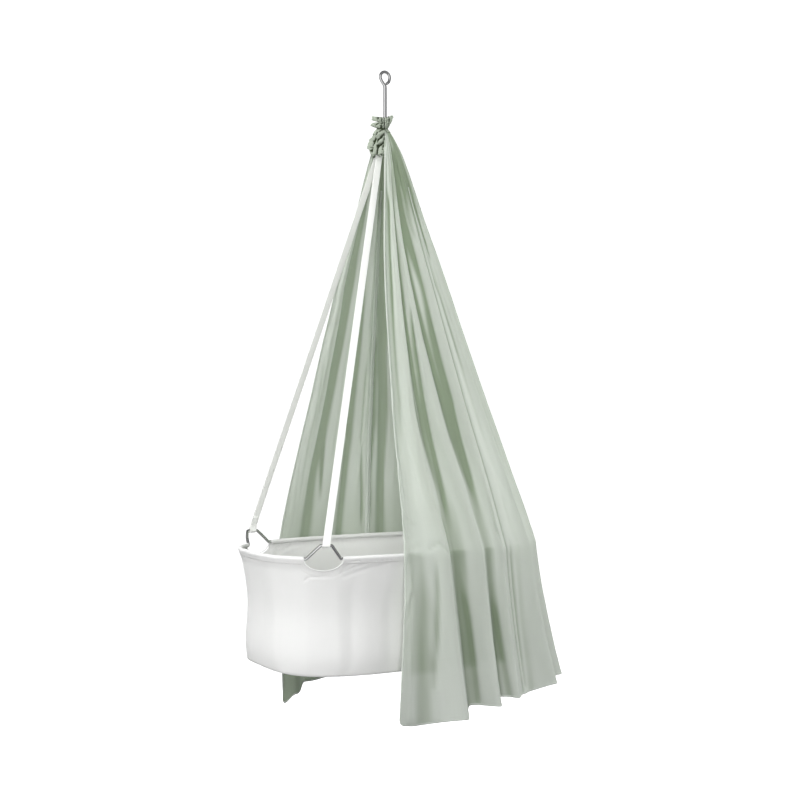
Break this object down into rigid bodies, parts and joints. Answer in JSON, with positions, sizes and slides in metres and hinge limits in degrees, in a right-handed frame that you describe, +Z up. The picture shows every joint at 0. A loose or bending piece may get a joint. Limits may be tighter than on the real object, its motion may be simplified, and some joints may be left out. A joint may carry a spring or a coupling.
{
  "type": "bed canopy of sheer woven cotton over a hanging baby cradle",
  "caption": "Sheer cotton canopy, gathered at the top and open on one side, round a cloth basket cradle that hangs from a steel rod by webbing slings.",
  "frame": {"origin": "top of the inside of the rod's eye, where it bears on its ceiling hook", "axes": "+Z up, +X along the cradle towards its head end under the closed part of the canopy, -Y the side on which the canopy opens widest"},
  "size_m": [0.8795, 0.6424, 1.7196],
  "materials": {
    "green_cotton": "sheer plain weave, sage green",
    "white_cotton": "plain weave, white",
    "white_webbing": "flat woven webbing, white",
    "polished_steel": "polished"
  },
  "bodies": {
    "root": {"hanging_rod": "polished_steel", "rim_rod": "polished_steel", "foot_strap": "white_webbing", "head_strap": "white_webbing", "basket_wall": "white_cotton", "basket_floor": "white_cotton", "canopy_near_panel": "green_cotton", "canopy_back_panel": "green_cotton", "canopy_far_panel": "green_cotton", "canopy_heading": "green_cotton"}
  },
  "joints": []
}
